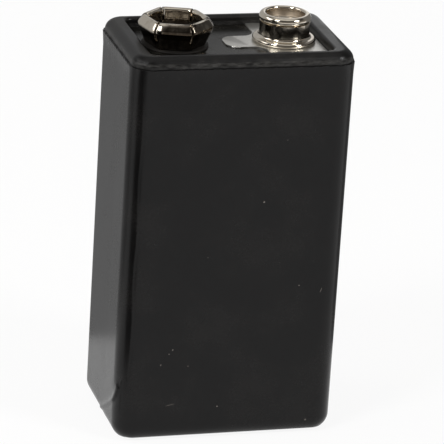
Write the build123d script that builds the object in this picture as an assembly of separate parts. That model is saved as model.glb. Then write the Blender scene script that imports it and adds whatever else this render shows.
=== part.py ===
from build123d import *
import math
import os

# Nine volt battery of six round alkaline cells in a steel jacket.
# Millimetres, +Z up. The origin is the middle of the base, on the surface it stands on.
# X runs from the socket (negative) to the stud (positive), and Y from the front face to the back.

# Round cells, two rows of three, standing on end
cell_diameter = 7.9
cell_length = 39.2
cell_gap_x = 0.4
cell_gap_y = 0.1
cell_shoulder = 0.7
nub_radius = 1.35
nub_height = 0.8
crimp_width = 0.85
crimp_cover = 0.25
crimp_thickness = 0.3
seal_wall = 0.5
seal_depth = 0.9
cap_round = 0.15
cap_proud = 0.25

# Sleeve round the six cells
sleeve_gap = 0.02
sleeve_wall = 0.1

# Steel jacket and the film shrunk on it
jacket_gap_x = 0.18
jacket_gap_y = 0.05
steel_wall = 0.25
jacket_corner = 2.3
rim_round = 1.2
rim_bend = 0.4
base_round = 1.9
base_hem = 1.0
film_wall = 0.1
film_below_rim = 0.1
film_foot = 0.45

# Deck inside the rim
deck_recess = 1.1
rim_width_end = 2.3
rim_width_side = 2.12
opening_corner = 0.9
board_gap = 0.05
board_thickness = 1.2
plate_thickness = 0.15
plate_gap = 0.1
plate_left_of_stud = 2.65
plate_corner = 0.3
tongue_from_washer = 2.0
tongue_width = 4.0
tongue_round = 1.5
tongue_hollow = 1.5

# Base board and pads
base_board_thickness = 1.0
base_pad_thickness = 0.5
base_pad_margin = 0.5
spacer_thickness = 2.55
lead_slot_gap = 0.2

# Straps and leads, nickel strip
strip_thickness = 0.15
strap_width = 3.6
strap_overhang = 1.5
lead_width = 2.6
lead_overhang = 1.4
lead_bend = 0.4

# Terminals, 12.7 apart, each with its foot clear of the rim
terminal_to_rim = 0.35
rivet_radius = 1.0
rivet_gap = 0.05
rivet_head_radius = 1.6
rivet_head_height = 0.25
rivet_tail_radius = 1.6
rivet_tail_height = 0.3
rivet_bore_radius = 0.6
rivet_bore_depth = 1.2

# Stud, a drawn snap with a rolled head and a rolled foot
stud_radius = 2.86
stud_height = 3.35
stud_sheet = 0.28
head_bead = 0.36
head_proud = 0.08
dish_depth = 1.1
dish_wall_lean = 0.25
foot_radius = 3.6
foot_bead = 0.3
foot_fillet = 0.35

# Socket, a crown of six petals on a round washer
washer_radius = 3.8
washer_thickness = 0.2
socket_sheet = 0.28
socket_height = 3.35
socket_bore_radius = 2.88
crown_corner_centre = 2.24
crown_foot = 3.0
crown_widest = 4.22
crown_widest_below_top = 0.8
widest_bend = 0.3
crest_bend = 0.26
lip_reach = 2.93
lip_length = 1.25
crown_turn = 13.5
petal_count = 6
slit_width = 0.3
slit_floor = 0.8

# Places that follow from the sizes
cell_radius = cell_diameter / 2
cell_mouth = cell_radius - crimp_width
seal_seat = cell_mouth + crimp_cover
cap_radius = cell_mouth - seal_wall
pitch_x = cell_diameter + cell_gap_x
pitch_y = cell_diameter + cell_gap_y
pack_width = 2 * pitch_x + cell_diameter
pack_depth = pitch_y + cell_diameter
sleeve_width = pack_width + 2 * (sleeve_gap + sleeve_wall)
sleeve_depth = pack_depth + 2 * (sleeve_gap + sleeve_wall)
cavity_width = sleeve_width + 2 * jacket_gap_x
cavity_depth = sleeve_depth + 2 * jacket_gap_y
jacket_width = cavity_width + 2 * steel_wall
jacket_depth = cavity_depth + 2 * steel_wall

base_board_top = steel_wall + base_board_thickness
base_pad_top = base_board_top + base_pad_thickness
cells_bottom = base_pad_top + strip_thickness
cells_top = cells_bottom + cell_length
spacer_bottom = cells_top + strip_thickness
board_bottom = spacer_bottom + spacer_thickness
board_top = board_bottom + board_thickness
plate_top = board_top + plate_thickness
case_height = board_top + deck_recess
film_top = case_height - rim_round - film_below_rim

opening_width = jacket_width - 2 * rim_width_end
opening_depth = jacket_depth - 2 * rim_width_side
stud_x = opening_width / 2 - max(washer_radius, foot_radius) - terminal_to_rim
socket_x = -stud_x
dish_floor = plate_top + stud_height - dish_depth
socket_floor = board_top + washer_thickness
socket_top = board_top + socket_height
hole_radius = rivet_radius + rivet_gap
lead_top = board_bottom
slot_radius = max(rivet_tail_radius, lead_width / 2 + lead_bend) + lead_slot_gap

# Each cell's column, row and whether its nub is up, in the order of the chain from stud to socket
cell_places = [(1, -1, True), (1, 1, False), (0, 1, True), (0, -1, False), (-1, -1, True), (-1, 1, False)]


def block(width, depth, corner, low, high):
    """Upright block with rounded corners in plan, between two heights."""
    return Pos(0, 0, low) * extrude(RectangleRounded(width, depth, corner), amount=high - low)


def edges_at(solid, height):
    """Edges that lie level at one height."""
    return solid.edges().filter_by(Plane.XY).filter_by_position(Axis.Z, height - 0.001, height + 0.001)


def turned(points):
    """Solid turned about the upright axis from a closed outline of (radius, height) points."""
    return revolve(make_face(Plane.XZ * Polyline(*points, close=True)), axis=Axis.Z)


def cell_centre(index):
    """Centre of a cell in plan, counted from the stud's end of the chain."""
    column, row = cell_places[index][:2]
    return column * pitch_x, row * pitch_y / 2


# Jacket and film
def jacket_block():
    """The jacket's outer shape, solid through."""
    solid = block(jacket_width, jacket_depth, jacket_corner, 0, case_height)
    solid = fillet(edges_at(solid, case_height), rim_round)
    return fillet(edges_at(solid, 0), base_round)


def steel_jacket():
    """Tube of sheet steel, turned in over the deck and under the base."""
    cavity = block(cavity_width, cavity_depth, jacket_corner - steel_wall, steel_wall, case_height - steel_wall)
    cavity = fillet(edges_at(cavity, case_height - steel_wall), rim_round - steel_wall)
    cavity = fillet(edges_at(cavity, steel_wall), base_round - steel_wall)
    lip = block(opening_width + 2 * steel_wall, opening_depth + 2 * steel_wall,
                opening_corner + steel_wall, board_top, case_height - steel_wall / 2)
    opening = block(opening_width, opening_depth, opening_corner, board_top - 1, case_height + 1)
    base_inset = 2 * (base_round + base_hem)
    base_opening = block(jacket_width - base_inset, jacket_depth - base_inset, opening_corner, -1, steel_wall + 1)
    shell = jacket_block() - cavity + lip - opening - base_opening
    rim_edges = [edge for edge in edges_at(shell, case_height)
                 if abs(edge.center().X) < opening_width / 2 + 0.01 and abs(edge.center().Y) < opening_depth / 2 + 0.01]
    return fillet(rim_edges, rim_bend)


def film_wrap():
    """Film shrunk on the jacket, from under the rim to part way round the base edge."""
    film = block(jacket_width + 2 * film_wall, jacket_depth + 2 * film_wall, jacket_corner + film_wall,
                 -film_wall, film_top)
    film = fillet(edges_at(film, -film_wall), base_round + film_wall)
    below = block(jacket_width * 2, jacket_depth * 2, jacket_corner, -1, film_foot)
    return film - jacket_block() - below


# Deck
def top_board():
    """Insulating deck board that carries both terminals."""
    board = block(cavity_width - 2 * board_gap, cavity_depth - 2 * board_gap,
                  jacket_corner - steel_wall - board_gap, board_bottom, board_top)
    for x in (stud_x, socket_x):
        board -= Pos(x, 0, board_bottom) * extrude(Circle(hole_radius), amount=board_thickness)
    return board


def contact_plate():
    """Tinned plate under the stud, with a rounded tongue towards the socket."""
    tip = socket_x + washer_radius + tongue_from_washer
    left = stud_x - plate_left_of_stud
    right = opening_width / 2 - plate_gap
    middle = (left + right) / 2
    half_depth = opening_depth / 2 - plate_gap
    body = Pos(middle, 0) * Rectangle(right - left, 2 * half_depth)
    tongue = Pos((tip + middle) / 2, 0) * Rectangle(middle - tip, tongue_width)
    outline = body + tongue
    room = 0.45 * (left - tip)
    outline = fillet([v for v in outline.vertices() if v.X < tip + 0.01], min(tongue_round, room))
    outline = fillet([v for v in outline.vertices() if abs(v.X - left) < 0.01 and abs(v.Y) < half_depth - 0.01],
                     min(tongue_hollow, room))
    outline = fillet([v for v in outline.vertices() if abs(v.X - left) < 0.01 and abs(v.Y) > half_depth - 0.01],
                     plate_corner)
    outline = fillet([v for v in outline.vertices() if v.X > right - 0.01], opening_corner)
    outline -= Pos(stud_x, 0) * Circle(hole_radius)
    return Pos(0, 0, board_top) * extrude(outline, amount=plate_thickness)


# Terminals
def stud_terminal():
    """Drawn snap: rolled foot, straight barrel, rolled head and a dished top."""
    base = plate_top
    top = plate_top + stud_height
    inside = stud_radius - stud_sheet
    head_outer = stud_radius + head_proud
    head_inner = head_outer - 2 * head_bead
    bead_middle = top - head_bead
    floor_radius = head_inner - dish_wall_lean
    foot_top = base + 2 * foot_bead
    with BuildPart() as part:
        with BuildSketch(Plane.XZ):
            with BuildLine():
                Line((foot_radius - foot_bead, base), (inside, base))
                Line((inside, base), (inside, bead_middle - head_bead))
                Line((inside, bead_middle - head_bead), (inside - stud_sheet / 2, bead_middle - head_bead))
                Line((inside - stud_sheet / 2, bead_middle - head_bead),
                     (floor_radius + stud_sheet / 2, dish_floor - stud_sheet))
                Line((floor_radius + stud_sheet / 2, dish_floor - stud_sheet), (hole_radius, dish_floor - stud_sheet))
                Line((hole_radius, dish_floor - stud_sheet), (hole_radius, dish_floor))
                Line((hole_radius, dish_floor), (floor_radius, dish_floor))
                Line((floor_radius, dish_floor), (head_inner, bead_middle))
                ThreePointArc((head_inner, bead_middle), (head_outer - head_bead, top), (head_outer, bead_middle))
                Line((head_outer, bead_middle), (stud_radius, bead_middle - head_bead))
                Line((stud_radius, bead_middle - head_bead), (stud_radius, foot_top + foot_fillet))
                RadiusArc((stud_radius, foot_top + foot_fillet), (stud_radius + foot_fillet, foot_top), foot_fillet)
                Line((stud_radius + foot_fillet, foot_top), (foot_radius - foot_bead, foot_top))
                ThreePointArc((foot_radius - foot_bead, foot_top), (foot_radius, base + foot_bead),
                              (foot_radius - foot_bead, base))
            make_face()
        revolve(axis=Axis.Z)
    return Pos(stud_x, 0, 0) * part.part


def rivet(centre_x, head_seat, tail_seat):
    """Semi-tubular rivet with a low head, clinched under the lead's tab."""
    head_top = head_seat + rivet_head_height
    tail_end = tail_seat - rivet_tail_height
    solid = turned([
        (0, head_top), (rivet_head_radius - rivet_head_height, head_top), (rivet_head_radius, head_seat),
        (rivet_radius, head_seat), (rivet_radius, tail_seat), (rivet_tail_radius, tail_seat),
        (rivet_tail_radius - rivet_tail_height / 2, tail_end), (rivet_bore_radius, tail_end),
        (rivet_bore_radius, tail_end + rivet_bore_depth), (0, tail_end + rivet_bore_depth),
    ])
    return Pos(centre_x, 0, 0) * solid


def socket_washer():
    """Round washer between the crown and the deck."""
    ring = Circle(washer_radius) - Circle(hole_radius)
    ring = extrude(ring, amount=washer_thickness)
    return Pos(socket_x, 0, board_top) * ring


def crown_section():
    """Section of a petal's sheet: out of the floor, up the leaning wall and over the crest into the lip."""
    half = socket_sheet / 2
    floor_height = socket_floor + half
    widest = (crown_widest - half, socket_top - crown_widest_below_top)
    crest_centre = (lip_reach + crest_bend, socket_top - half - crest_bend)
    towards_centre = math.atan2(crest_centre[1] - widest[1], crest_centre[0] - widest[0])
    slope = towards_centre - math.asin(crest_bend / math.dist(widest, crest_centre))
    apex_height = widest[1] + (lip_reach - widest[0]) * math.tan(slope)
    floor = Line((crown_corner_centre, floor_height), (crown_foot, floor_height))
    wall = FilletPolyline(
        (crown_foot, floor_height), widest, (lip_reach, apex_height), (lip_reach, socket_top - lip_length),
        radius=[widest_bend, crest_bend])
    path = Wire([*floor.edges(), *wall.edges()])
    return make_face(Plane.XZ * path.offset_2d(half, Kind.INTERSECTION, Side.BOTH))


def socket_terminal():
    """Crown of six petals: each leans out, turns in at its widest and ends in a lip that grips a stud."""
    section = crown_section()
    side = crown_corner_centre
    petal_angle = 360 / petal_count
    corner_axis = Axis((side * math.cos(math.radians(petal_angle / 2)), side / 2, 0), (0, 0, 1))
    flat = extrude(section, amount=side / 2, both=True)
    corner = revolve(Pos(0, side / 2, 0) * section, axis=corner_axis, revolution_arc=petal_angle)
    crown = extrude(Circle(side + socket_sheet) - Circle(hole_radius), amount=socket_sheet)
    crown = Pos(0, 0, socket_floor) * crown
    for index in range(petal_count):
        crown += Rot(0, 0, index * petal_angle) * (flat + corner)
    slit = Pos(socket_bore_radius / 2, 0, socket_floor + slit_floor) * Box(
        2 * crown_widest, slit_width, socket_height, align=(Align.MIN, Align.CENTER, Align.MIN))
    for index in range(petal_count):
        crown -= Rot(0, 0, (index + 0.5) * petal_angle) * slit
    bore_bottom = socket_top - lip_length - socket_sheet
    crown -= Pos(0, 0, bore_bottom) * Cylinder(
        socket_bore_radius, socket_height, align=(Align.CENTER, Align.CENTER, Align.MIN))
    return Pos(socket_x, 0, 0) * Rot(0, 0, crown_turn) * crown


# Cells
def cell_can():
    """Can of one cell with its nub up, sealed and full, open only at the seal's seat."""
    shoulder = cell_length - nub_height
    return turned([
        (0, cell_length), (nub_radius, cell_length), (nub_radius, shoulder), (cell_radius - cell_shoulder, shoulder),
        (cell_radius, shoulder - cell_shoulder), (cell_radius, cap_proud + crimp_thickness),
        (cell_radius - crimp_thickness, cap_proud), (cell_mouth, cap_proud),
        (cell_mouth, cap_proud + crimp_thickness), (seal_seat, cap_proud + crimp_thickness),
        (seal_seat, cap_proud + seal_depth), (0, cap_proud + seal_depth),
    ])


def cell_seal():
    """Plastic ring under the can's crimp that parts the can from the cap."""
    return turned([
        (cap_radius, cap_proud + crimp_thickness), (seal_seat, cap_proud + crimp_thickness),
        (seal_seat, cap_proud + seal_depth), (cap_radius, cap_proud + seal_depth),
    ])


def cell_cap():
    """Negative cap, a disc with a broken edge that stands a little proud of the crimp."""
    return turned([
        (0, 0), (cap_radius - cap_round, 0), (cap_radius, cap_round),
        (cap_radius, cap_proud + seal_depth), (0, cap_proud + seal_depth),
    ])


def place_in_cell(solid, index):
    """Moves a piece of an upright cell to its place, upside down where the nub is down."""
    x, y = cell_centre(index)
    if cell_places[index][2]:
        return Pos(x, y, cells_bottom) * solid
    return Pos(x, y, cells_top) * Rot(180, 0, 0) * solid


def cell_sleeve():
    """Thin sleeve that holds the six cells together."""
    inner_width = pack_width + 2 * sleeve_gap
    inner_depth = pack_depth + 2 * sleeve_gap
    outer = RectangleRounded(sleeve_width, sleeve_depth, cell_radius + sleeve_gap + sleeve_wall)
    inner = RectangleRounded(inner_width, inner_depth, cell_radius + sleeve_gap)
    return Pos(0, 0, cells_bottom) * extrude(outer - inner, amount=cell_length)


# Straps and leads
def strap(first, second, low):
    """Strip welded across the ends of two cells."""
    x1, y1 = cell_centre(first)
    x2, y2 = cell_centre(second)
    length = math.dist((x1, y1), (x2, y2)) + 2 * strap_overhang
    angle = math.degrees(math.atan2(y2 - y1, x2 - x1))
    strip = RectangleRounded(length, strap_width, strap_overhang / 2)
    return Pos((x1 + x2) / 2, (y1 + y2) / 2, low) * Rot(0, 0, angle) * extrude(strip, amount=strip_thickness)


def lead(cell, terminal_x):
    """Bent strip from a cell's end up to the rivet under the deck board."""
    x, y = cell_centre(cell)
    run = math.dist((x, y), (terminal_x, 0))
    angle = math.degrees(math.atan2(-y, terminal_x - x))
    low = cells_top + strip_thickness / 2
    high = lead_top - strip_thickness / 2
    foot_end = lead_overhang
    tab_start = run - rivet_tail_radius - lead_bend
    path = FilletPolyline((-lead_overhang, low), (foot_end, low), (tab_start, high), (run + lead_overhang, high),
                          radius=lead_bend)
    section = make_face(Plane.XZ * path.offset_2d(strip_thickness / 2, Kind.INTERSECTION, Side.BOTH))
    strip = extrude(section, amount=lead_width / 2, both=True)
    strip -= Pos(run, 0, high) * Cylinder(hole_radius, 1)
    return Pos(x, y, 0) * Rot(0, 0, angle) * strip


# Boards and pads inside
def bottom_board():
    """Board on the jacket's base hem, its lower edge rounded to sit in the jacket's bend."""
    board = block(cavity_width - 2 * board_gap, cavity_depth - 2 * board_gap,
                  jacket_corner - steel_wall - board_gap, steel_wall, steel_wall + 2 * base_round)
    board = fillet(edges_at(board, steel_wall), base_round - steel_wall - board_gap)
    above = block(cavity_width * 2, cavity_depth * 2, jacket_corner, base_board_top, case_height)
    return board - above


def bottom_pad():
    """Card between the base board and the lower straps."""
    return block(cavity_width - 2 * base_pad_margin, cavity_depth - 2 * base_pad_margin, jacket_corner,
                 base_board_top, base_pad_top)


def lead_slot(cell, terminal_x):
    """Room in the spacer for a lead and the tail of its rivet."""
    x, y = cell_centre(cell)
    run = math.dist((x, y), (terminal_x, 0))
    angle = math.degrees(math.atan2(-y, terminal_x - x))
    slot = SlotCenterToCenter(run + 2 * lead_overhang - lead_width / 2, 2 * slot_radius)
    return Pos((x + terminal_x) / 2, y / 2, spacer_bottom) * Rot(0, 0, angle) * extrude(slot, amount=spacer_thickness)


def top_spacer():
    """Moulded spacer between the upper straps and the deck board, with a slot for each lead."""
    spacer = block(cavity_width - 2 * board_gap, cavity_depth - 2 * board_gap,
                   jacket_corner - steel_wall - board_gap, spacer_bottom, board_bottom)
    return spacer - lead_slot(0, stud_x) - lead_slot(5, socket_x)


def battery():
    """Every piece by the name of its node."""
    pieces = {
        "steel_jacket": steel_jacket(),
        "film_wrap": film_wrap(),
        "top_board": top_board(),
        "contact_plate": contact_plate(),
        "stud_terminal": stud_terminal(),
        "stud_rivet": rivet(stud_x, dish_floor, lead_top - strip_thickness),
        "socket_washer": socket_washer(),
        "socket_terminal": socket_terminal(),
        "socket_rivet": rivet(socket_x, socket_floor + socket_sheet, lead_top - strip_thickness),
        "top_spacer": top_spacer(),
        "positive_lead": lead(0, stud_x),
        "negative_lead": lead(5, socket_x),
        "top_strap_1": strap(1, 2, cells_top),
        "top_strap_2": strap(3, 4, cells_top),
        "bottom_strap_1": strap(0, 1, base_pad_top),
        "bottom_strap_2": strap(2, 3, base_pad_top),
        "bottom_strap_3": strap(4, 5, base_pad_top),
        "cell_sleeve": cell_sleeve(),
        "bottom_pad": bottom_pad(),
        "bottom_board": bottom_board(),
    }
    for index in range(len(cell_places)):
        pieces[f"cell_{index + 1}_can"] = place_in_cell(cell_can(), index)
        pieces[f"cell_{index + 1}_seal"] = place_in_cell(cell_seal(), index)
        pieces[f"cell_{index + 1}_cap"] = place_in_cell(cell_cap(), index)
    return pieces


os.makedirs("parts", exist_ok=True)
for name, solid in battery().items():
    export_step(solid, f"parts/{name}.step")
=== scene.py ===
import logging
import math
from contextlib import contextmanager
from dataclasses import dataclass, field
from enum import Enum
from typing import Callable, Iterator, Sequence

import bmesh
import bpy
from mathutils import Matrix, Vector


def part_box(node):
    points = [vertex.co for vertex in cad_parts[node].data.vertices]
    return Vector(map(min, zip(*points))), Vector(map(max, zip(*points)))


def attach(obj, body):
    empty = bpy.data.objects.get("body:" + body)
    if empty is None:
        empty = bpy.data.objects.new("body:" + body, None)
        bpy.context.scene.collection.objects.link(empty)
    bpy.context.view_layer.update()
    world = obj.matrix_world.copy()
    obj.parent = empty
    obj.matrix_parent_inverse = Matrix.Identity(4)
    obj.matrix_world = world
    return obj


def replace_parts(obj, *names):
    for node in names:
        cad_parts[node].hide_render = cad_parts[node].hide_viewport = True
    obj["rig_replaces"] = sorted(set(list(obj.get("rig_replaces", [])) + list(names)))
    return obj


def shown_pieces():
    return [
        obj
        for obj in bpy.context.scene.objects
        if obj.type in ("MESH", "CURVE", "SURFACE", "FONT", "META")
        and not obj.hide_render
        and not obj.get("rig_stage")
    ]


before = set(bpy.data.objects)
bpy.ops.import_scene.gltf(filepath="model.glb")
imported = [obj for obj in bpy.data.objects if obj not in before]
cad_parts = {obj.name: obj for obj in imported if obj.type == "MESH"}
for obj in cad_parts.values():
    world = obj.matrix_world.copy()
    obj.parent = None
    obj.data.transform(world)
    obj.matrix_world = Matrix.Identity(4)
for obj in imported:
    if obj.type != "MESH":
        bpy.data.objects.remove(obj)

# Nine volt battery. Metres, +Z up; the origin is the middle of the base.
# X runs from the socket to the stud, and Y from the front face to the back.
log = logging.getLogger("nine_volt_battery")

MM = 0.001
MERGE = 0.0004 * MM
BODY = "root"
UP = Vector((0, 0, 1))

Colour = tuple[float, float, float]
Point = tuple[float, float]


class Slot(Enum):
    """Material slots of the record."""

    JACKET = "jacket_enamel"
    FILM = "black_film"
    DECK = "deck_board"
    PLATE = "tinned_plate"
    BRIGHT = "bright_nickel"
    RIVET = "rivet_nickel"
    SPACER = "spacer_plastic"
    STRIP = "nickel_strip"
    SLEEVE = "sleeve_paper"
    CARD = "card"
    BASE = "base_board"
    CELL = "cell_steel"
    SEAL = "seal_plastic"


# Node trees as expressions
def operators(operation: str) -> tuple[Callable, Callable]:
    """Operators that add one Math node, with the signal on the left and on the right."""
    return (lambda signal, other: signal.math(operation, signal, other),
            lambda signal, other: signal.math(operation, other, signal))


@dataclass(frozen=True, eq=False)
class Signal:
    """Output of a node, used as a number, colour or vector in an expression."""

    tree: bpy.types.NodeTree
    socket: bpy.types.NodeSocket

    __add__, __radd__ = operators("ADD")
    __sub__, __rsub__ = operators("SUBTRACT")
    __mul__, __rmul__ = operators("MULTIPLY")
    __truediv__ = operators("DIVIDE")[0]
    __pow__ = operators("POWER")[0]

    def math(self, operation: str, *operands: "Signal | float") -> "Signal":
        """One Math node with its inputs in order."""
        return NodeSheet(self.tree).add("ShaderNodeMath", {"operation": operation}, dict(enumerate(operands)))

    def above(self, start: float, end: float) -> "Signal":
        """Smooth step from 0 at start to 1 at end; it falls where end is below start."""
        sockets = {"Value": self, "From Min": start, "From Max": end}
        return NodeSheet(self.tree).add("ShaderNodeMapRange", {"interpolation_type": "SMOOTHSTEP"}, sockets)


@dataclass(frozen=True, eq=False)
class NodeSheet:
    """Adds nodes to one tree."""

    tree: bpy.types.NodeTree

    @classmethod
    def of(cls, owner: bpy.types.Material | bpy.types.World) -> "NodeSheet":
        """The emptied sheet of a material or a world.

        Args:
            owner: The material or the world.

        Returns:
            Its sheet.
        """
        owner.use_nodes = True
        owner.node_tree.nodes.clear()
        return cls(owner.node_tree)

    def add(self, kind: str, settings: dict | None = None, sockets: dict | None = None, out: int | str = 0) -> Signal:
        """Adds a node, with its settings first and then its sockets.

        Args:
            kind: The node's type.
            settings: Its properties; stops are a colour ramp's (place, colour) pairs.
            sockets: Values or signals by an input's name or index.
            out: The output to return, by name or index.

        Returns:
            That output.
        """
        node = self.tree.nodes.new(kind)
        for key, value in (settings or {}).items():
            if key == "stops":
                self._set_stops(node, value)
            else:
                setattr(node, key, value)
        for key, value in (sockets or {}).items():
            if isinstance(value, Signal):
                self.tree.links.new(value.socket, node.inputs[key])
            elif value is not None:
                node.inputs[key].default_value = value
        return Signal(self.tree, node.outputs[out]) if len(node.outputs) else Signal(self.tree, node.inputs[0])

    @staticmethod
    def _set_stops(node: bpy.types.Node, stops: Sequence[tuple[float, Colour]]) -> None:
        """Sets the stops of a colour ramp.

        Args:
            node: The ramp's node.
            stops: Places and colours.
        """
        ramp = node.color_ramp
        while len(ramp.elements) < len(stops):
            ramp.elements.new(1.0)
        for element, (place, colour) in zip(ramp.elements, stops):
            element.position = place
            element.color = (*colour, 1.0)

    def place(self) -> Signal:
        """Object coordinates."""
        return self.add("ShaderNodeTexCoord", out="Object")

    def axes(self, vector: Signal) -> tuple[Signal, Signal, Signal]:
        """The three parts of a vector."""
        node = self.add("ShaderNodeSeparateXYZ", sockets={0: vector}).socket.node
        return tuple(Signal(self.tree, output) for output in node.outputs)

    def stretched(self, vector: Signal, scale: Sequence[float]) -> Signal:
        """A vector scaled along each axis."""
        return self.add("ShaderNodeVectorMath", {"operation": "MULTIPLY"}, {0: vector, 1: tuple(scale)})

    def noise(self, vector: Signal, size_mm: float, detail: float = 2.0, rough: float = 0.5) -> Signal:
        """Noise about 0.5 with lumps of one size, and octaves of finer noise."""
        sockets = {"Vector": vector, "Scale": 1.0 / (size_mm * MM), "Detail": detail, "Roughness": rough}
        return self.add("ShaderNodeTexNoise", sockets=sockets)

    def blend(self, share: Signal | float, first: Signal | Colour, second: Signal | Colour) -> Signal:
        """Colour between two: a share of 0 gives the first and 1 the second."""
        ends = [value if isinstance(value, Signal) else (*value, 1.0) for value in (first, second)]
        return self.add("ShaderNodeMix", {"data_type": "RGBA"}, {0: share, 6: ends[0], 7: ends[1]}, out=2)

    def bump(self, height: Signal, depth_mm: float) -> Signal:
        """Normal of a surface whose relief has one depth at a height of 1."""
        return self.add("ShaderNodeBump", sockets={"Strength": 1.0, "Distance": depth_mm * MM, "Height": height})

    def surface(self, **sockets: Signal | float | Colour) -> Signal:
        """A Principled shader from its inputs by name, with underscores for spaces."""
        named = {key.replace("_", " "): value for key, value in sockets.items()}
        return self.add("ShaderNodeBsdfPrincipled", sockets=named)

    def output(self, shader: Signal, kind: str = "ShaderNodeOutputMaterial") -> None:
        """Joins a shader to the sheet's output."""
        self.add(kind, sockets={"Surface": shader})


# Finishes. Sizes of noise end in _mm, and above() turns a noise into a mask of its highest part.
@dataclass(frozen=True)
class Look:
    """A procedural material."""

    name: str

    def shade(self, sheet: NodeSheet) -> Signal:
        """The look's shader; each kind of look has its own."""
        raise NotImplementedError

    def material(self) -> bpy.types.Material:
        """The material, made at the first call.

        Returns:
            The material.
        """
        material = bpy.data.materials.get(self.name)
        if material is None:
            material = bpy.data.materials.new(self.name)
            sheet = NodeSheet.of(material)
            sheet.output(self.shade(sheet))
        return material


@dataclass(frozen=True)
class Finish(Look):
    """A look with the record's slot that it belongs to."""

    slot: Slot


@dataclass(frozen=True)
class Mark:
    """A speck or a short scratch on the front of the case, by its place in millimetres."""

    x: float
    z: float
    length: float
    width: float
    turn: float = 0.0
    brightness: float = 1.0


@dataclass(frozen=True)
class ShrinkFilm(Finish):
    """Satin black film: fine orange peel, slow waves from shrinking, dust and a few specks."""

    colour: Colour = (0.0042, 0.0040, 0.0041)
    dusty: Colour = (0.0075, 0.0070, 0.0068)
    speck: Colour = (0.16, 0.145, 0.13)
    peel_mm: float = 0.32
    pores_mm: float = 0.09
    waves_mm: float = 5.5
    haze_mm: float = 7.0
    grit_mm: float = 0.13
    roughness: float = 0.25
    depth_mm: float = 0.012
    gloss: float = 0.2
    front: float = 8.2
    front_soft: float = 0.1
    mark_edge: Point = (1.3, 0.5)
    marks: tuple[Mark, ...] = ()

    def marked(self, sheet: NodeSheet, place: Signal) -> Signal:
        """Mask of the specks and scratches.

        Args:
            sheet: The material's nodes.
            place: Object coordinates.

        Returns:
            1 on a mark and 0 off it.
        """
        x, y, z = (part / MM for part in sheet.axes(place))
        facing = (-1 * y).above(self.front - self.front_soft, self.front)
        total = 0.0
        for mark in self.marks:
            cosine, sine = math.cos(math.radians(mark.turn)), math.sin(math.radians(mark.turn))
            across, up = x - mark.x, z - mark.z
            along = (across * cosine + up * sine) / (mark.length / 2)
            aside = (up * cosine - across * sine) / (mark.width / 2)
            total = total + (along * along + aside * aside).above(*self.mark_edge) * (mark.brightness * facing)
        return total

    def shade(self, sheet: NodeSheet) -> Signal:
        """The film's shader.

        Args:
            sheet: The material's nodes.

        Returns:
            The shader.
        """
        place = sheet.place()
        peel = sheet.noise(place, self.peel_mm, detail=3.0, rough=0.6)
        pores = sheet.noise(place, self.pores_mm, detail=2.0)
        waves = sheet.noise(sheet.stretched(place, (1.0, 1.0, 0.45)), self.waves_mm, detail=1.0)
        haze = sheet.noise(place, self.haze_mm, detail=4.0, rough=0.62)
        grit = sheet.noise(place, self.grit_mm, detail=1.0).above(0.72, 0.78)
        marks = self.marked(sheet, place)
        dust = haze.above(0.42, 0.72)
        colour = sheet.blend(dust, self.colour, self.dusty)
        colour = sheet.blend(grit * 0.12, colour, self.speck)
        colour = sheet.blend(marks, colour, self.speck)
        roughness = self.roughness + 0.03 * dust + 0.06 * (peel - 0.5) + 0.3 * marks
        relief = sheet.bump(0.5 * peel + 0.22 * pores + 1.2 * waves + 0.35 * marks, self.depth_mm)
        return sheet.surface(Base_Color=colour, Roughness=roughness, Normal=relief, Specular_IOR_Level=self.gloss)


@dataclass(frozen=True)
class Enamel(Finish):
    """Satin black enamel on steel, flecked where the film's edge has rubbed it."""

    colour: Colour = (0.0055, 0.0052, 0.0052)
    dusty: Colour = (0.014, 0.013, 0.012)
    bare: Colour = (0.17, 0.168, 0.16)
    grain_mm: float = 0.14
    haze_mm: float = 4.0
    ragged_mm: float = 0.4
    nicks_mm: float = 0.45
    roughness: float = 0.30
    depth_mm: float = 0.008
    gloss: float = 0.2
    rubbed_low: Point = (44.85, 44.95)
    rubbed_high: Point = (45.5, 45.35)

    def shade(self, sheet: NodeSheet) -> Signal:
        """The enamel's shader.

        Args:
            sheet: The material's nodes.

        Returns:
            The shader.
        """
        place = sheet.place()
        z = sheet.axes(place)[2] / MM
        grain = sheet.noise(place, self.grain_mm, detail=3.0, rough=0.6)
        haze = sheet.noise(place, self.haze_mm, detail=4.0, rough=0.6)
        ragged = sheet.noise(sheet.stretched(place, (0.45, 0.45, 1.3)), self.ragged_mm, detail=4.0, rough=0.7)
        band = z.above(*self.rubbed_low) * z.above(*self.rubbed_high)
        rubbed = band * ragged.above(0.30, 0.80)
        nicks = sheet.noise(place, self.nicks_mm, detail=2.0).above(0.72, 0.77)
        dust = haze.above(0.45, 0.7)
        colour = sheet.blend(dust, self.colour, self.dusty)
        colour = sheet.blend(0.30 * rubbed + 0.10 * nicks, colour, self.bare)
        roughness = self.roughness + 0.08 * dust + 0.15 * rubbed
        relief = sheet.bump(grain - 1.2 * rubbed - 0.8 * nicks, self.depth_mm)
        return sheet.surface(Base_Color=colour, Roughness=roughness, Normal=relief, Specular_IOR_Level=self.gloss)


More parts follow.
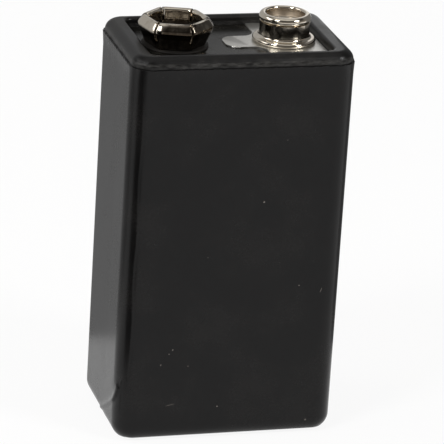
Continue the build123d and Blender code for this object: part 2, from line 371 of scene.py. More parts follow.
@dataclass(frozen=True)
class Plastic(Finish):
    """Moulded or laminated plastic with a fine grain and some dust."""

    colour: Colour
    dusty: Colour
    roughness: float = 0.4
    grain_mm: float = 0.2
    depth_mm: float = 0.01
    gloss: float = 0.3

    def shade(self, sheet: NodeSheet) -> Signal:
        """The plastic's shader.

        Args:
            sheet: The material's nodes.

        Returns:
            The shader.
        """
        place = sheet.place()
        grain = sheet.noise(place, self.grain_mm, detail=3.0, rough=0.6)
        haze = sheet.noise(place, 2.6, detail=5.0, rough=0.65)
        dust = haze.above(0.45, 0.75)
        lint = sheet.noise(sheet.stretched(place, (1.0, 0.25, 1.0)), 0.12, detail=1.0).above(0.72, 0.8)
        colour = sheet.blend(0.8 * dust + 0.5 * lint, self.colour, self.dusty)
        roughness = self.roughness + 0.15 * dust + 0.1 * (grain - 0.5)
        relief = sheet.bump(grain + 0.4 * haze, self.depth_mm)
        return sheet.surface(Base_Color=colour, Roughness=roughness, Normal=relief, Specular_IOR_Level=self.gloss)


@dataclass(frozen=True)
class Metal(Finish):
    """Plated or tinned metal with a drawn grain, faint stains and fine scratches."""

    colour: Colour
    stain_and_shade: Colour
    roughness: float = 0.12
    rougher: float = 0.2
    stained: float = 0.5
    stain_mm: float = 1.2
    grain: tuple[float, float, float] = (1.0, 1.0, 1.0)
    grain_mm: float = 0.12
    depth_mm: float = 0.003
    wave_mm: float = 1.6
    wave_depth: float = 1.5

    def rough_and_shaded(self, sheet: NodeSheet, place: Signal) -> Signal | float:
        """Mask of what has lost its shine and carries painted shade; plain metal has none."""
        return 0.0

    def with_painted_shade(self, sheet: NodeSheet, place: Signal, colour: Signal) -> Signal:
        """The colour with its painted shade and painted dark reflection; plain metal has none."""
        return colour

    def shade(self, sheet: NodeSheet) -> Signal:
        """The metal's shader.

        Args:
            sheet: The material's nodes.

        Returns:
            The shader.
        """
        place = sheet.place()
        grain = sheet.noise(sheet.stretched(place, self.grain), self.grain_mm, detail=3.0, rough=0.6)
        blotch = sheet.noise(place, self.stain_mm, detail=4.0, rough=0.65)
        waves = sheet.noise(place, self.wave_mm, detail=1.0)
        pits = sheet.noise(place, 0.11, detail=1.0).above(0.70, 0.78)
        # The stain mask holds real blotchy stains and, on the snaps, painted shade inside their hollows.
        stain_and_shade = blotch.above(0.48, 0.72) * self.stained + self.rough_and_shaded(sheet, place)
        colour = self.with_painted_shade(sheet, place, sheet.blend(stain_and_shade + 0.35 * pits, self.colour, self.stain_and_shade))
        roughness = self.roughness + self.rougher * stain_and_shade + 0.06 * grain
        relief = sheet.bump(grain + self.wave_depth * waves - 0.8 * pits, self.depth_mm)
        return sheet.surface(Base_Color=colour, Metallic=1.0, Roughness=roughness, Normal=relief)


@dataclass(frozen=True)
class Zone:
    """Upright ring or round patch about a terminal's axis, in millimetres: its two radii and its two heights."""

    x: float
    inner: float
    outer: float
    low: float
    high: float
    share: float = 1.0
    soft: float = 0.25
    # A direction that keeps only the side facing it, for a painted dark reflection on one side.
    toward: Point | None = None
    toward_edge: Point = (1.6, 2.3)

    def mask(self, sheet: NodeSheet, place: Signal) -> Signal:
        """The zone's share inside it and 0 outside.

        Args:
            sheet: The material's nodes.
            place: Object coordinates.

        Returns:
            The mask.
        """
        x, y, z = (part / MM for part in sheet.axes(place))
        aside = x - self.x
        away = (aside * aside + y * y) ** 0.5
        inside = away.above(self.outer, self.outer - self.soft) * z.above(self.high, self.high - self.soft)
        inside = inside * z.above(self.low, self.low + self.soft)
        if self.inner:
            inside = inside * away.above(self.inner, self.inner + self.soft)
        if self.toward:
            inside = inside * (aside * self.toward[0] + y * self.toward[1]).above(*self.toward_edge)
        return inside * self.share


@dataclass(frozen=True)
class SnapNickel(Metal):
    """Bright nickel with painted shade: rougher and browner inside the stud's dish and the crown, and darker on the
    stud's barrel, the dish's floor, the crown's underside and its front petal, as painted shade and painted dark
    reflection.
    """

    # Zones that turn rougher and browner, as painted shade in the hollows.
    rough_shaded_zones: tuple[Zone, ...] = ()
    # Zones of painted shade and painted dark reflection.
    dark: tuple[Zone, ...] = ()
    # Colour of that painted shade and painted dark reflection.
    painted_shade_tone: Colour = (0.055, 0.042, 0.030)

    def rough_and_shaded(self, sheet: NodeSheet, place: Signal) -> Signal | float:
        """Mask of the insides of the terminals: rougher, and darker with painted shade."""
        return sum(zone.mask(sheet, place) for zone in self.rough_shaded_zones)

    def with_painted_shade(self, sheet: NodeSheet, place: Signal, colour: Signal) -> Signal:
        """The colour with its painted shade and painted dark reflection, thinned in vertical streaks.

        Args:
            sheet: The material's nodes.
            place: Object coordinates.
            colour: The colour before it.

        Returns:
            The colour.
        """
        # Painted shade and painted dark reflection on the dark zones, thinned in vertical streaks.
        streaks = sheet.noise(sheet.stretched(place, (1.0, 1.0, 0.06)), 0.5, detail=2.0).above(0.35, 0.75)
        total = sum(zone.mask(sheet, place) for zone in self.dark)
        return sheet.blend(total * (1.0 - 0.25 * streaks), colour, self.painted_shade_tone)


@dataclass(frozen=True)
class Fibre(Finish):
    """Paper or card with short fibres and small flecks."""

    colour: Colour
    dark: Colour
    fibre_mm: float = 0.25

    def shade(self, sheet: NodeSheet) -> Signal:
        """The fibre's shader.

        Args:
            sheet: The material's nodes.

        Returns:
            The shader.
        """
        place = sheet.place()
        fibres = sheet.noise(sheet.stretched(place, (1.0, 1.0, 0.22)), self.fibre_mm, detail=4.0, rough=0.7)
        cloudy = sheet.noise(place, 1.8, detail=3.0)
        flecks = sheet.noise(place, 0.15, detail=1.0).above(0.68, 0.74)
        colour = sheet.blend(fibres.above(0.35, 0.7) * 0.5 + 0.3 * cloudy, self.colour, self.dark)
        colour = sheet.blend(flecks * 0.5, colour, self.dark)
        relief = sheet.bump(fibres, 0.03)
        return sheet.surface(Base_Color=colour, Roughness=0.75 + 0.1 * fibres, Normal=relief)


# Film, jacket and boards
FRONT_MARKS = (
    Mark(-6.8, 11.4, 0.22, 0.14, 30, 0.9), Mark(-7.2, 10.9, 0.18, 0.12, 0, 0.7), Mark(-8.1, 9.6, 0.2, 0.14, 60, 0.8),
    Mark(-4.9, 9.3, 0.16, 0.12, 0, 0.7), Mark(-1.15, 4.1, 0.2, 0.16, 0, 1.0), Mark(9.55, 1.8, 0.24, 0.18, 20, 1.0),
    Mark(2.85, 28.9, 0.24, 0.18, 40, 1.0), Mark(7.65, 18.6, 0.18, 0.12, 0, 0.8), Mark(10.3, 17.9, 0.6, 0.1, 70, 0.6),
    Mark(-6.75, 4.6, 1.1, 0.12, 12, 0.35), Mark(-12.2, 42.4, 0.2, 0.14, 0, 0.7), Mark(5.1, 36.2, 0.14, 0.1, 0, 0.4),
    Mark(-3.3, 22.5, 0.14, 0.1, 0, 0.35),
)
FILM = ShrinkFilm("satin_black_film", Slot.FILM, marks=FRONT_MARKS)
ENAMEL = Enamel("satin_black_enamel", Slot.JACKET)
DECK = Plastic("smooth_dark_board", Slot.DECK, (0.0070, 0.0066, 0.0056), (0.022, 0.020, 0.016), roughness=0.22,
               grain_mm=0.25, depth_mm=0.004, gloss=0.2)
BASE = Plastic("pressed_dark_board", Slot.BASE, (0.014, 0.013, 0.012), (0.032, 0.030, 0.027), roughness=0.45,
               grain_mm=0.3, depth_mm=0.03)
WASHER = Plastic("dark_fibre", Slot.DECK, (0.010, 0.009, 0.008), (0.024, 0.021, 0.018), roughness=0.6, grain_mm=0.15,
                 depth_mm=0.012, gloss=0.15)

# Terminals: their axes, and a height below everything that is seen of them
STUD_X, SOCKET_X, BELOW = 6.47, -6.25, 40
# Painted shade inside the stud's dish.
DISH = Zone(STUD_X, 0, 2.3, BELOW, 48.4, share=1.7)
# Painted shade on the dish's floor.
DISH_FLOOR = Zone(STUD_X, 0, 2.2, BELOW, 48.3, share=0.25)
# Painted dark reflection on the stud's barrel under the bead.
STUD_NECK = Zone(STUD_X, 2.3, 3.0, 46.2, 47.6, share=0.55)
# Painted shade inside the crown.
CROWN_INSIDE = Zone(SOCKET_X, 0, 2.95, BELOW, 48.0)
# Painted shade under the crown's widest bend.
CROWN_FOOT = Zone(SOCKET_X, 3.0, 4.6, BELOW, 47.5, share=0.95)
# Painted dark reflection on the crown's front petal, the side that faces the front.
CROWN_FRONT = Zone(SOCKET_X, 3.3, 4.6, 46.6, 48.9, share=0.9, soft=0.2, toward=(0.42, -0.91))
# The snaps' nickel, with the zones above as painted shade and painted dark reflection.
BRIGHT = SnapNickel("bright_nickel_plate", Slot.BRIGHT, (0.64, 0.585, 0.50), (0.34, 0.28, 0.21), roughness=0.08,
                    rougher=0.22, stained=0.35, stain_mm=1.1, grain=(1.0, 1.0, 0.25), grain_mm=0.10, depth_mm=0.0025,
                    wave_mm=1.3, wave_depth=0.8, rough_shaded_zones=(DISH, CROWN_INSIDE),
                    dark=(STUD_NECK, DISH_FLOOR, CROWN_FOOT, CROWN_FRONT))
PLATE = Metal("dull_tinned_sheet", Slot.PLATE, (0.66, 0.65, 0.62), (0.50, 0.485, 0.45), roughness=0.34, rougher=0.12,
              stain_mm=0.7, grain=(1.0, 0.3, 1.0), grain_mm=0.08, depth_mm=0.006, wave_mm=1.2, wave_depth=0.8)
RIVET = Metal("rivet_nickel_plate", Slot.RIVET, (0.50, 0.46, 0.40), (0.32, 0.27, 0.21), roughness=0.28,
              rougher=0.15, stain_mm=0.6)

# Inner pieces
STRIP = Metal("rolled_nickel_strip", Slot.STRIP, (0.66, 0.63, 0.58), (0.52, 0.48, 0.42), roughness=0.28,
              rougher=0.12, stained=0.4, stain_mm=2.0, grain=(0.12, 1.0, 1.0), depth_mm=0.006)
CELL = Metal("drawn_cell_steel", Slot.CELL, (0.62, 0.61, 0.59), (0.48, 0.46, 0.43), roughness=0.24, rougher=0.12,
             stained=0.4, stain_mm=3.0, grain=(1.0, 1.0, 0.06), grain_mm=0.10, depth_mm=0.006)
SPACER = Plastic("natural_plastic", Slot.SPACER, (0.68, 0.68, 0.65), (0.55, 0.54, 0.5), 0.42, 0.3, depth_mm=0.02)
SEAL = Plastic("seal_plastic", Slot.SEAL, (0.30, 0.33, 0.36), (0.22, 0.23, 0.24), 0.35, 0.2, depth_mm=0.008)
SLEEVE = Fibre("kraft_sleeve", Slot.SLEEVE, (0.50, 0.36, 0.22), (0.34, 0.23, 0.13))
CARD = Fibre("plain_card", Slot.CARD, (0.46, 0.37, 0.25), (0.33, 0.25, 0.16), fibre_mm=0.35)


# Mesh making
@dataclass(frozen=True)
class Outline:
    """Points of a section in millimetres, joined from straight runs and arcs."""

    points: tuple[Point, ...] = ()

    def to(self, *points: Point) -> "Outline":
        """The outline with straight runs to more points."""
        return Outline(self.points + points)

    def arc(self, centre: Point, radius: float, start: float, end: float, steps: int = 10) -> "Outline":
        """The outline with an arc added.

        Args:
            centre: The arc's centre.
            radius: Its radius.
            start: Angle of its first point, in degrees.
            end: Angle of its last point.
            steps: Number of chords.

        Returns:
            The longer outline.
        """
        angles = [math.radians(start + (end - start) * step / steps) for step in range(steps + 1)]
        return self.to(*((centre[0] + radius * math.cos(a), centre[1] + radius * math.sin(a)) for a in angles))


def filleted(corners: Sequence[Point], radii: Sequence[float], steps: int = 8) -> list[Point]:
    """Path of straight runs with a tangent arc at each inner corner.

    Args:
        corners: Points of the path.
        radii: Radius at each inner corner.
        steps: Chords in each arc.

    Returns:
        Points along the rounded path.
    """
    path = [Vector(corners[0])]
    for before, corner, after, radius in zip(corners, corners[1:], corners[2:], radii):
        corner = Vector(corner)
        back, ahead = (Vector(before) - corner).normalized(), (Vector(after) - corner).normalized()
        half = back.angle(ahead) / 2
        centre = corner + (back + ahead).normalized() * radius / math.sin(half)
        first = corner + back * radius / math.tan(half) - centre
        last = corner + ahead * radius / math.tan(half) - centre
        for step in range(steps + 1):
            share = step / steps
            turn = math.sin((1 - share) * (math.pi - 2 * half)) * first + math.sin(share * (math.pi - 2 * half)) * last
            path.append(centre + turn / math.sin(math.pi - 2 * half))
    path.append(Vector(corners[-1]))
    return [tuple(point) for point in path]


def thickened(path: Sequence[Point], thickness: float) -> tuple[list[Point], list[Point]]:
    """Both faces of a sheet that follows a path.

    Args:
        path: Middle of the sheet.
        thickness: The sheet's thickness.

    Returns:
        Points on its left face and on its right face, one pair for each point of the path.
    """
    left, right = [], []
    for index, point in enumerate(path):
        before = Vector(path[max(index - 1, 0)])
        after = Vector(path[min(index + 1, len(path) - 1)])
        along = (after - before).normalized()
        aside = Vector((-along.y, along.x)) * thickness / 2
        left.append(tuple(Vector(point) + aside))
        right.append(tuple(Vector(point) - aside))
    return left, right


@dataclass(frozen=True)
class LoopPlan:
    """How many steps a loop round the case has along its straight sides and in each corner."""

    front: int = 2
    back: int = 2
    ends: int = 2
    corner: int = 16
    support: float = 0.004

    def shares(self, steps: int) -> list[float]:
        """Places along a straight side, with one close to each end that keeps the side flat."""
        inner = [step / steps for step in range(1, steps)]
        return [self.support, *inner, 1 - self.support]

    def points(self, half_x: float, half_y: float, corner: float, z: float) -> list[Vector]:
        """Points of a rectangle with rounded corners.

        Args:
            half_x: Half its width.
            half_y: Half its depth.
            corner: Corner radius.
            z: Its height.

        Returns:
            Points in order, anticlockwise from the left end of the front.
        """
        flat_x, flat_y = half_x - corner, half_y - corner
        centres = [Vector((x * flat_x, y * flat_y, z)) for x, y in ((-1, -1), (1, -1), (1, 1), (-1, 1))]
        loop = []
        for side, steps in enumerate((self.front, self.ends, self.back, self.ends)):
            turns = [math.radians(90 * (side - 1 + step / self.corner)) for step in range(self.corner + 1)]
            arc = [corner * Vector((math.cos(turn), math.sin(turn), 0)) for turn in turns]
            start, centre = centres[side], centres[(side + 1) % len(centres)]
            loop += [start.lerp(centre, share) + arc[0] for share in self.shares(steps)]
            loop += [centre + point for point in arc]
        return loop


def shown(name: str, data: bpy.types.ID) -> bpy.types.Object:
    """A new object in the scene.

    Args:
        name: Its name.
        data: Its mesh, lamp or camera.

    Returns:
        The object.
    """
    made = bpy.data.objects.new(name, data)
    bpy.context.scene.collection.objects.link(made)
    return made


@contextmanager
def edited(mesh: bpy.types.Mesh) -> Iterator[bmesh.types.BMesh]:
    """An editable copy of a mesh, written back when the block ends.

    Args:
        mesh: The mesh.

    Yields:
        The copy.
    """
    work = bmesh.new()
    work.from_mesh(mesh)
    yield work
    work.to_mesh(mesh)
    work.free()


@dataclass
class Builder:
    """Makes meshes in millimetres and hands them over as finished pieces."""

    made: list[str] = field(default_factory=list)

    @staticmethod
    def mesh(name: str, points: Sequence[Vector], faces: Sequence[Sequence[int]]) -> bpy.types.Mesh:
        """Mesh with its doubles merged and its faces outwards.

        Args:
            name: The mesh's name.
            points: Vertices in millimetres.
            faces: Vertex indices of each face.

        Returns:
            The mesh, in metres.
        """
        mesh = bpy.data.meshes.new(name)
        mesh.from_pydata([tuple(Vector(point) * MM) for point in points], [], faces)
        with edited(mesh) as work:
            bmesh.ops.remove_doubles(work, verts=work.verts, dist=MERGE)
            bmesh.ops.dissolve_degenerate(work, edges=work.edges, dist=MERGE)
            bmesh.ops.recalc_face_normals(work, faces=work.faces)
            if work.calc_volume(signed=True) < 0:
                bmesh.ops.reverse_faces(work, faces=work.faces)
        return mesh

    @staticmethod
    def skinned(name: str, rows: Sequence[Sequence[Vector]]) -> bpy.types.Mesh:
        """Closed shell through loops, the last of which joins the first.

        Args:
            name: The mesh's name.
            rows: Loops with the same number of points.

        Returns:
            The mesh.
        """
        width = len(rows[0])
        points = [point for row in rows for point in row]
        faces = []
        for row in range(len(rows)):
            low, high = row * width, (row + 1) % len(rows) * width
            for column in range(width):
                aside = (column + 1) % width
                faces.append((low + column, low + aside, high + aside, high + column))
        return Builder.mesh(name, points, faces)

    @staticmethod
    def turned(name: str, outline: Outline, centre: Vector, segments: int = 96) -> bpy.types.Mesh:
        """Shell turned about the upright axis from a closed outline.

        Args:
            name: The mesh's name.
            outline: Points of radius and height.
            centre: Where the axis stands.
            segments: Steps round the axis.

        Returns:
            The mesh.
        """
        angles = [2 * math.pi * step / segments for step in range(segments)]
        rows = [[Vector((centre.x + radius * math.cos(a), centre.y + radius * math.sin(a), height)) for a in angles]
                for radius, height in outline.points]
        return Builder.skinned(name, rows)

    def piece(self, mesh: bpy.types.Mesh, finish: Finish, *nodes: str, sharp: float = 40.0) -> bpy.types.Object:
        """A finished piece that rides on the body and stands for CAD nodes.

        Args:
            mesh: Its mesh.
            finish: Its finish.
            nodes: The nodes that it replaces.
            sharp: Edges over this angle stay sharp, in degrees.

        Returns:
            The object.
        """
        mesh.shade_smooth()
        mesh.set_sharp_from_angle(angle=math.radians(sharp))
        mesh.materials.clear()
        mesh.materials.append(finish.material())
        piece = shown(mesh.name, mesh)
        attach(piece, BODY)
        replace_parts(piece, *nodes)
        self.made.append(piece.name)
        log.info("%s stands for %s with %d faces", piece.name, ", ".join(nodes), len(mesh.polygons))
        return piece

    def dress(self, node: str, finish: Finish) -> None:
        """Gives a CAD node its finish.

        Args:
            node: The node's name.
            finish: Its finish.
        """
        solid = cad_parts[node]
        if not solid.material_slots:
            solid.data.materials.append(finish.material())
        for slot in solid.material_slots:
            slot.material = finish.material()
        self.made.append(node)
        log.info("%s has the finish %s", node, finish.name)


def box_mm(node: str) -> tuple[Vector, Vector]:
    """A CAD node's lowest and highest corner, in millimetres."""
    low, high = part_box(node)
    return low / MM, high / MM


def clamped(value: float, low: float = 0.0, high: float = 1.0) -> float:
    """The value, kept between two bounds."""
    return min(max(value, low), high)


# Sub-assemblies
@dataclass(frozen=True)
class Wave:
    """A sine wave."""

    pace: float
    start: float
    size: float

    def at(self, place: float) -> float:
        """Its height at one place."""
        return self.size * math.sin(place * self.pace + self.start)


@dataclass
class Case:
    """Steel jacket, the film shrunk on it and the base board."""

    steel: float = 0.25
    corner: float = 2.3
    rim_round: float = 1.2
    rim_bend: float = 0.4
    base_round: float = 1.9
    base_hem: float = 1.0
    rim_end: float = 2.3
    rim_side: float = 1.67
    opening_corner: float = 0.9
    film: float = 0.1
    film_foot: float = 0.45
    film_clear: float = 0.004
    film_fine: float = 9.0
    film_rows: tuple[int, int] = (52, 24)
    film_edge: tuple[Point, ...] = ((1.0, 0.06), (1.0, 0.03), (0.7, 0.004), (0.4, 0.0))
    wall_hold: float = 0.05
    rim_hold: float = 0.03
    edge_ragged: float = 0.06
    edge_flare: float = 0.09
    edge_band: float = 0.45
    edge_waves: tuple[Wave, ...] = (Wave(97, 0, 0.5), Wave(211, 1.3, 0.3), Wave(31, 0.4, 0.4))
    edge_sunk: float = 0.6
    flare_ragged: float = 0.35
    flare_left: float = 0.3
    lap_x: float = -11.65
    lap_step: float = 0.045
    lap_wide: float = 0.12
    lap_waves: tuple[Wave, ...] = (Wave(0.55, 0, 0.10), Wave(1.9, 0.6, 0.05))
    lap_fade: Point = (2.0, 6.0)
    lap_full: float = 7.5
    lap_reach: float = 40.0
    fold_ridge: float = 0.16
    fold_wide: float = 0.4
    fold_steep: float = 0.2
    fold_depth: float = 0.4
    slack: float = 0.05
    slack_away: float = 0.9
    slack_wide: float = 0.6
    slack_above: float = -0.6
    fold_path: tuple[Point, ...] = ((-0.6, 1.2), (-1.7, 1.8), (-4.4, 3.4), (-6.4, 4.7), (-6.9, 5.5), (-7.2, 6.5))

    def build(self, builder: Builder) -> None:
        """Makes the jacket and the film and dresses the base board.

        Args:
            builder: Hands the pieces over.
        """
        self.half_x, self.half_y, self.top = box_mm("steel_jacket")[1]
        self.deck = box_mm("top_board")[1].z
        self.film_top = box_mm("film_wrap")[1].z
        builder.piece(self.jacket(), ENAMEL, "steel_jacket", sharp=50)
        builder.piece(self.film_wrap(), FILM, "film_wrap", sharp=60)
        builder.dress("bottom_board", BASE)

    def ring(self, plan: LoopPlan, inset: float, z: float) -> list[Vector]:
        """Loop at one inset from the jacket's outer face."""
        return plan.points(self.half_x - inset, self.half_y - inset, max(self.corner - inset, 0.05), z)

    def opening(self, plan: LoopPlan, outset: float, z: float) -> list[Vector]:
        """Loop at one outset from the deck's opening."""
        return plan.points(self.half_x - self.rim_end + outset, self.half_y - self.rim_side + outset,
                           self.opening_corner + outset, z)

    def jacket(self) -> bpy.types.Mesh:
        """Jacket's sheet: base hem, wall, rim turned in and down to the deck, and back inside.

        Returns:
            The mesh.
        """
        plan = LoopPlan(corner=18)
        hem, bend, steel = self.base_round + self.base_hem, self.rim_bend, self.steel
        base, rim = (self.base_round, self.base_round), (self.rim_round, self.top - self.rim_round)
        outer = Outline().to((hem, 0)).arc(base, self.base_round, -90, -180, 12)
        outer = outer.to((0, self.base_round + self.wall_hold), (0, self.top - self.rim_round - self.wall_hold))
        outer = outer.arc(rim, self.rim_round, 180, 90, 14).to((self.rim_round + self.rim_hold, self.top))
        lip = Outline().to((bend + self.rim_hold, self.top)).arc((bend, self.top - bend), bend, 90, 180, 8)
        lip = lip.to((0, self.deck), (steel, self.deck), (steel, self.top - steel))
        inner = Outline().arc(rim, self.rim_round - steel, 90, 180, 6)
        inner = inner.arc(base, self.base_round - steel, 180, 270, 6).to((hem, steel))
        rows = [self.ring(plan, inset, z) for inset, z in outer.points]
        rows += [self.opening(plan, outset, z) for outset, z in lip.points]
        rows += [self.ring(plan, inset, z) for inset, z in inner.points]
        return Builder.skinned("jacket", rows)

    def film_wrap(self) -> bpy.types.Mesh:
        """Film on the jacket with its lap, its fold near the base and its ragged upper edge.

        Returns:
            The mesh.
        """
        plan = LoopPlan(front=60, back=24, ends=84, corner=36, support=0.002)
        centre = (self.base_round, self.base_round)
        radii = (self.base_round + self.film, self.base_round - self.film_clear)
        feet = [math.degrees(math.asin((self.base_round - self.film_foot) / radius)) for radius in radii]
        outer = list(Outline().arc(centre, radii[0], 180 + feet[0], 180, 12).points)
        edge = [(-self.film * share, self.film_top - below) for share, below in self.film_edge]
        heights = (self.base_round, self.film_fine, edge[0][1])
        for low, high, steps in zip(heights, heights[1:], self.film_rows):
            outer += [(-self.film, low + (high - low) * step / steps) for step in range(1, steps + 1)]
        outer += edge[1:]
        inner = Outline().to((self.film_clear, self.film_top)).arc(centre, radii[1], 180, 180 + feet[1], 8)
        rows = [[self.relief(point) for point in self.ring(plan, inset, z)] for inset, z in outer]
        rows += [self.ring(plan, inset, z) for inset, z in inner.points]
        return Builder.skinned("shrunk_film", rows)

    def relief(self, point: Vector) -> Vector:
        """Moves one point of the film's outer face for the lap, the fold and the ragged edge.

        Args:
            point: Its place on the plain film.

        Returns:
            Its place with the relief.
        """
        flat_x, flat_y = self.half_x - self.corner, self.half_y - self.corner
        out = Vector((point.x - clamped(point.x, -flat_x, flat_x), point.y - clamped(point.y, -flat_y, flat_y), 0))
        out.normalize()
        around = math.atan2(point.y, point.x)
        near_top = max(0.0, 1 - (self.film_top - point.z) / self.edge_band)
        ragged = sum(wave.at(around) for wave in self.edge_waves)
        flare = self.edge_flare * near_top ** 2 * (1 + self.flare_ragged * ragged - self.flare_left * out.x)
        moved = point + out * (self.lap(point) + self.fold(point) + flare)
        moved.z += self.edge_ragged * near_top * (ragged - self.edge_sunk)
        return moved

    def lap(self, point: Vector) -> float:
        """Step where the film laps over itself at the front left corner.

        Args:
            point: A point of the film's outer face.

        Returns:
            How far it stands out there.
        """
        wander = sum(wave.at(point.z) for wave in self.lap_waves)
        inside = clamped((self.lap_x + wander - point.x) / self.lap_wide + 0.5)
        none, full = self.lap_fade
        fade = clamped((-point.y - none) / (full - none))
        return self.lap_step * inside * fade * clamped(1.3 - abs(point.z - self.lap_full) / self.lap_reach)

    def fold(self, point: Vector) -> float:
        """Ridge of the folded film low on the left face, with the slack film under it.

        Args:
            point: A point of the film's outer face.

        Returns:
            How far it stands out there.
        """
        if point.x > -self.half_x + self.fold_depth or point.z > self.film_fine:
            return 0.0
        path = [Vector(corner) for corner in self.fold_path]
        here = Vector((point.y, point.z))
        gaps = []
        for start, end in zip(path, path[1:]):
            run = end - start
            gap = here - (start + run * clamped((here - start).dot(run) / run.length_squared))
            gaps.append((gap.length, run.x * gap.y - run.y * gap.x >= 0))
        nearest, steep = min(gaps, key=lambda gap: gap[0])
        width = self.fold_steep if steep else self.fold_wide
        ridge = self.fold_ridge * math.exp(-(nearest / width) ** 2)
        slack = self.slack * math.exp(-((nearest - self.slack_away) / self.slack_wide) ** 2)
        return ridge + slack * (1 if steep else self.slack_above)


@dataclass
class Deck:
    """Deck board inside the rim and the plate under the stud."""

    plate_wider: float = 0.45
    plate_straight: float = 5.0

    def build(self, builder: Builder) -> None:
        """Dresses the board and makes the plate."""
        builder.dress("top_board", DECK)
        builder.piece(self.plate(), PLATE, "contact_plate", sharp=30)

    def plate(self) -> bpy.types.Mesh:
        """The CAD plate's own mesh, copied, with its front and back edges moved out to the rim's lips.

        Returns:
            The mesh.
        """
        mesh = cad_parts["contact_plate"].data.copy()
        mesh.name = "plate"
        with edited(mesh) as work:
            bmesh.ops.remove_doubles(work, verts=work.verts, dist=MERGE)
            for vertex in work.verts:
                if abs(vertex.co.y) > self.plate_straight * MM:
                    vertex.co.y += math.copysign(self.plate_wider * MM, vertex.co.y)
        return mesh


@dataclass
class Rivet:
    """Semi-tubular rivet with a low domed head."""

    node: str
    aside: float = 0.0
    dome: float = 0.3
    edge: float = 0.08
    head_height: float = 0.25
    shank: float = 1.0
    tail_height: float = 0.3
    tail_bevel: float = 0.15
    bore: float = 0.6
    bore_depth: float = 1.2

    def build(self, builder: Builder) -> None:
        """Makes the rivet.

        Args:
            builder: Hands the pieces over.
        """
        low, high = box_mm(self.node)
        centre = (low + high) / 2 + Vector((self.aside, 0, 0))
        head = (high.x - low.x) / 2
        seat, tail = high.z - self.head_height, low.z
        crown_radius = (head * head + self.dome * self.dome) / (2 * self.dome)
        spread = math.degrees(math.asin((head - self.edge) / crown_radius))
        top = seat + self.edge + self.dome
        outline = Outline().arc((0, top - crown_radius), crown_radius, 90, 90 - spread, 14)
        outline = outline.arc((head - self.edge, seat + self.edge), self.edge, 60, -90, 6)
        outline = outline.to((self.shank, seat), (self.shank, tail + self.tail_height),
                             (head - 0.05, tail + self.tail_height), (head - self.tail_bevel, tail + 0.02),
                             (head - 2 * self.tail_bevel, tail),
                             (self.bore, tail), (self.bore, tail + self.bore_depth), (0, tail + self.bore_depth))
        builder.piece(Builder.turned(self.node + "_turned", outline, centre, 64), RIVET, self.node)


@dataclass
class Stud:
    """Positive snap: rolled foot, barrel, rolled head and dished top, held by its rivet."""

    sheet: float = 0.28
    radius: float = 2.86
    bead: float = 0.5
    inner_bead: float = 0.25
    bead_proud: float = 0.1
    foot_bead: float = 0.3
    foot_fillet: float = 0.35
    barrel_hold: float = 0.06
    neck: float = 0.92
    dish_depth: float = 1.1
    dish_bend: float = 0.25
    lean: float = 0.22
    aside: float = 0.12
    hole: float = 1.05

    def build(self, builder: Builder) -> None:
        """Makes the stud and its rivet.

        Args:
            builder: Hands the pieces over.
        """
        low, high = box_mm("stud_terminal")
        centre = (low + high) / 2 + Vector((self.aside, 0, 0))
        builder.piece(Builder.turned("stud", self.outline(low, high), centre), BRIGHT, "stud_terminal", sharp=60)
        Rivet("stud_rivet", self.aside).build(builder)

    def outline(self, low: Vector, high: Vector) -> Outline:
        """Section of the stud.

        Args:
            low: The node's lowest corner.
            high: Its highest corner.

        Returns:
            The closed outline.
        """
        base, top, foot = low.z, high.z, (high.x - low.x) / 2
        middle = top - self.bead
        crest = self.radius + self.bead_proud - self.bead
        floor = top - self.dish_depth
        wall = crest - self.inner_bead - self.lean
        foot_top = base + 2 * self.foot_bead
        inside = self.radius - self.sheet
        barrel_top = middle - self.neck * self.bead
        outline = Outline().to((self.hole, floor - self.sheet), (self.hole, floor))
        outline = outline.arc((wall - self.dish_bend, floor + self.dish_bend), self.dish_bend, -90, -15, 6)
        outline = outline.arc((crest, top - self.inner_bead), self.inner_bead, 190, 90, 12)
        outline = outline.arc((crest, middle), self.bead, 90, -62, 20)
        fillet = self.foot_fillet
        outline = outline.to((self.radius, barrel_top), (self.radius, foot_top + fillet + self.barrel_hold))
        outline = outline.arc((self.radius + fillet, foot_top + fillet), fillet, 180, 270, 8)
        outline = outline.arc((foot - self.foot_bead, base + self.foot_bead), self.foot_bead, 90, -90, 14)
        return outline.to((inside, base), (inside, floor), (wall - 0.1, floor - self.sheet))


